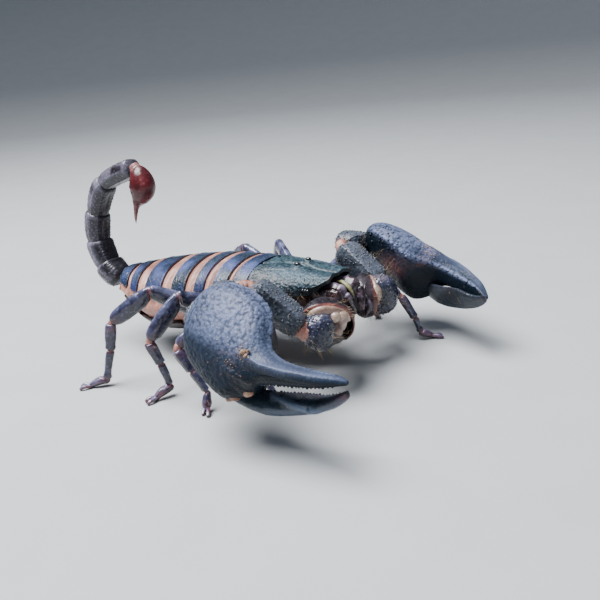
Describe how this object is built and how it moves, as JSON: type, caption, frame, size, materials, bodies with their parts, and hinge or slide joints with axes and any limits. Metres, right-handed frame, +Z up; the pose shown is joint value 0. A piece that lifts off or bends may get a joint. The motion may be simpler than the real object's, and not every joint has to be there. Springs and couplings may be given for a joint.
{
  "type": "giant forest scorpion",
  "caption": "Life-size still model of a giant forest scorpion, standing with both claws held forward and the tail arched over its back.",
  "frame": {"origin": "on the floor, under the middle of the whole animal's bounding box", "axes": "+Z up from the floor; -Y the way the head and claws point; +X the animal's left side"},
  "size_m": [0.0674, 0.0832, 0.0411],
  "materials": {
    "back": "semi-gloss blue-black shell, finely granular",
    "membrane": "satin salmon-pink soft skin",
    "belly": "semi-gloss dark red-brown shell",
    "claw": "semi-gloss slate-blue shell, pebbled",
    "leg": "glossy purple-black shell",
    "foot": "glossy red-brown shell",
    "tail": "semi-gloss brown-black shell with ridges",
    "telson": "glossy dark red shell",
    "comb": "satin tan",
    "eye": "polished black lens"
  },
  "bodies": {
    "root": {"tergite_1": "back", "tergite_2": "back", "tergite_3": "back", "tergite_4": "back", "tergite_5": "back", "tergite_6": "back", "tergite_7": "back", "sternite_3": "belly", "sternite_4": "belly", "sternite_5": "belly", "sternite_6": "belly", "sternite_7": "belly", "trunk_skin": "membrane", "carapace": "back", "head_underside": "belly", "middle_eye_right": "eye", "side_eyes_right": "eye", "middle_eye_left": "eye", "side_eyes_left": "eye", "jaw_right": "tail", "jaw_finger_right": "tail", "jaw_left": "tail", "jaw_finger_left": "tail", "palp_coxa_right": "belly", "palp_trochanter_right": "claw", "palp_femur_right": "claw", "palp_patella_right": "claw", "palm_right": "claw", "moving_finger_right": "claw", "palp_coxa_left": "belly", "palp_trochanter_left": "claw", "palp_femur_left": "claw", "palp_patella_left": "claw", "palm_left": "claw", "moving_finger_left": "claw", "leg_1_right": "leg", "foot_1_right": "foot", "leg_2_right": "leg", "foot_2_right": "foot", "leg_3_right": "leg", "foot_3_right": "foot", "leg_4_right": "leg", "foot_4_right": "foot", "leg_1_left": "leg", "foot_1_left": "foot", "leg_2_left": "leg", "foot_2_left": "foot", "leg_3_left": "leg", "foot_3_left": "foot", "leg_4_left": "leg", "foot_4_left": "foot", "comb_right": "comb", "comb_left": "comb", "tail_1": "tail", "tail_2": "tail", "tail_3": "tail", "tail_4": "tail", "tail_5": "tail", "telson": "telson", "sting": "telson"}
  },
  "joints": []
}
